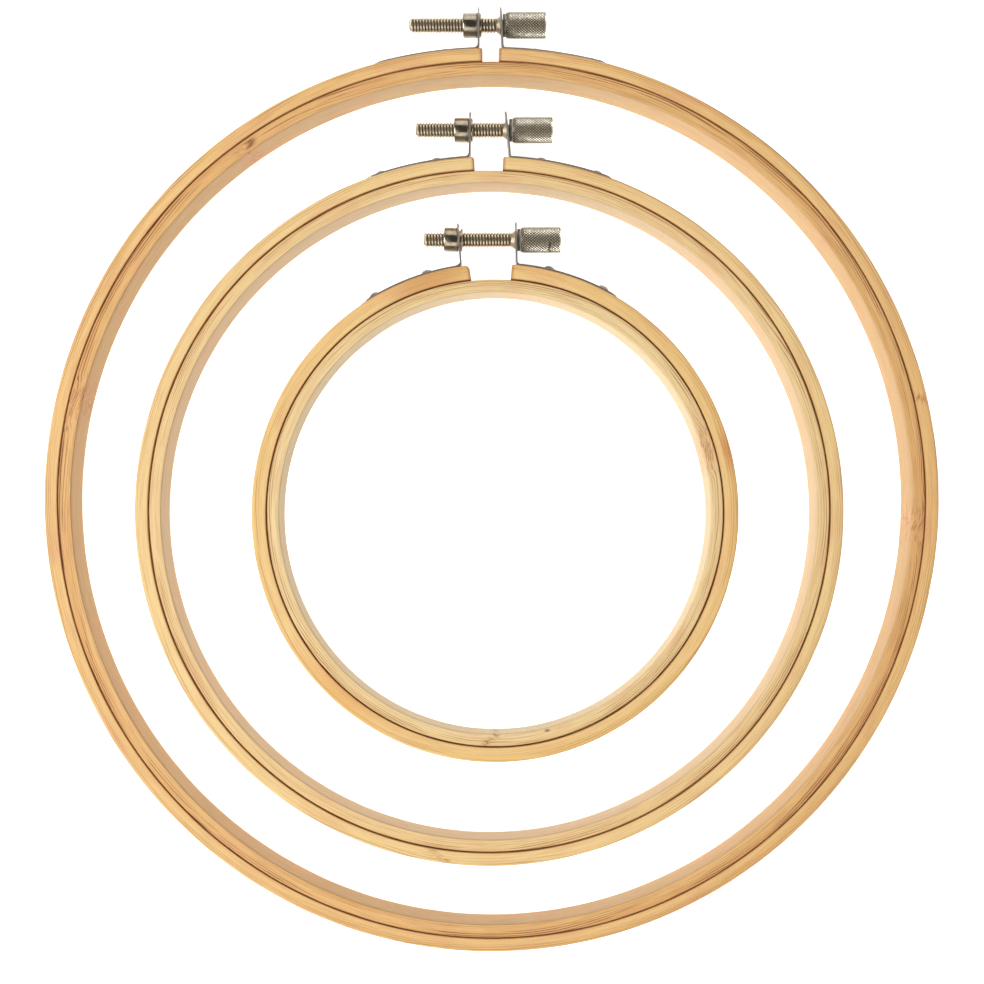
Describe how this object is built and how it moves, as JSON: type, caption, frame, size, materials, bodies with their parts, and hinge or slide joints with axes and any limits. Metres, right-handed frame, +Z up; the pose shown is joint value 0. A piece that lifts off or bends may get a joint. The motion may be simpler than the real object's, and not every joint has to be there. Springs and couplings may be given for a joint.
{
  "type": "embroidery hoop set",
  "caption": "Nesting round embroidery hoops: a closed inner ring in a split outer ring, drawn tight by a knurled thumb screw to hold fabric taut.",
  "frame": {"origin": "centre of the large hoop, on the plane that the set lies on", "axes": "+Z up out of the hoops, +Y towards the screws, +X towards the knurled heads"},
  "size_m": [0.235, 0.2495, 0.0095],
  "materials": {
    "bamboo_large_inner": "satin bare bamboo, warm orange tan",
    "bamboo_large_outer": "satin bare bamboo, golden tan",
    "bamboo_middle_inner": "satin bare bamboo, pale straw",
    "bamboo_middle_outer": "satin bare bamboo, pale gold",
    "bamboo_small_inner": "satin bare bamboo, pale straw",
    "bamboo_small_outer": "satin bare bamboo, golden tan",
    "bracket_steel": "zinc-plated sheet, blue grey, slightly dulled",
    "rivet_steel": "plated, domed",
    "nut_nickel": "bright nickel plate",
    "screw_nickel": "warm grey nickel plate, satin",
    "head_nickel": "warm grey nickel plate over a diamond knurl"
  },
  "bodies": {
    "large_outer": {"large_outer_ring": "bamboo_large_outer", "large_right_bracket": "bracket_steel", "large_right_rivets": "rivet_steel"},
    "large_inner": {"large_inner_ring": "bamboo_large_inner"},
    "large_left_lug": {"large_left_bracket": "bracket_steel", "large_left_rivets": "rivet_steel", "large_barrel_nut": "nut_nickel"},
    "large_screw": {"large_threaded_rod": "screw_nickel", "large_knurled_head": "head_nickel"},
    "middle_outer": {"middle_outer_ring": "bamboo_middle_outer", "middle_right_bracket": "bracket_steel", "middle_right_rivets": "rivet_steel"},
    "middle_inner": {"middle_inner_ring": "bamboo_middle_inner"},
    "middle_left_lug": {"middle_left_bracket": "bracket_steel", "middle_left_rivets": "rivet_steel", "middle_barrel_nut": "nut_nickel"},
    "middle_screw": {"middle_threaded_rod": "screw_nickel", "middle_knurled_head": "head_nickel"},
    "small_outer": {"small_outer_ring": "bamboo_small_outer", "small_right_bracket": "bracket_steel", "small_right_rivets": "rivet_steel"},
    "small_inner": {"small_inner_ring": "bamboo_small_inner"},
    "small_left_lug": {"small_left_bracket": "bracket_steel", "small_left_rivets": "rivet_steel", "small_barrel_nut": "nut_nickel"},
    "small_screw": {"small_threaded_rod": "screw_nickel", "small_knurled_head": "head_nickel"}
  },
  "joints": [
    {"name": "large_inner_lift", "type": "slide", "parent": "large_outer", "child": "large_inner", "axis": [0, 0, 1], "range_m": [0, 0.015]},
    {"name": "large_screw_turn", "type": "hinge", "parent": "large_outer", "child": "large_screw", "pos_m": [0, 0.12634, 0.00475], "axis": [-1, 0, 0], "range_deg": [-5400.5, 216.5]},
    {"name": "large_clamp_gap", "type": "slide", "parent": "large_outer", "child": "large_left_lug", "axis": [1, 0, 0], "range_m": [-0.012, 0.00048], "deforming": ["large_outer_ring"]},
    {"name": "middle_lift", "type": "slide", "parent": "large_outer", "child": "middle_outer", "axis": [0, 0, 1], "range_m": [0, 0.015]},
    {"name": "middle_inner_lift", "type": "slide", "parent": "middle_outer", "child": "middle_inner", "axis": [0, 0, 1], "range_m": [0, 0.015]},
    {"name": "middle_screw_turn", "type": "hinge", "parent": "middle_outer", "child": "middle_screw", "pos_m": [0, 0.09844, 0.00475], "axis": [-1, 0, 0], "range_deg": [-3960.5, 216.5]},
    {"name": "middle_clamp_gap", "type": "slide", "parent": "middle_outer", "child": "middle_left_lug", "axis": [1, 0, 0], "range_m": [-0.0088, 0.00048], "deforming": ["middle_outer_ring"]},
    {"name": "small_lift", "type": "slide", "parent": "large_outer", "child": "small_outer", "axis": [0, 0, 1], "range_m": [0, 0.015]},
    {"name": "small_inner_lift", "type": "slide", "parent": "small_outer", "child": "small_inner", "axis": [0, 0, 1], "range_m": [0, 0.015]},
    {"name": "small_screw_turn", "type": "hinge", "parent": "small_outer", "child": "small_screw", "pos_m": [0, 0.06924, 0.00475], "axis": [-1, 0, 0], "range_deg": [-2160.5, 216.5]},
    {"name": "small_clamp_gap", "type": "slide", "parent": "small_outer", "child": "small_left_lug", "axis": [1, 0, 0], "range_m": [-0.0048, 0.00048], "deforming": ["small_outer_ring"]}
  ],
  "couplings": [
    {"joint": "large_screw_turn", "follows": "large_clamp_gap", "rad_per_m": 7854},
    {"joint": "middle_screw_turn", "follows": "middle_clamp_gap", "rad_per_m": 7854},
    {"joint": "small_screw_turn", "follows": "small_clamp_gap", "rad_per_m": 7854}
  ]
}
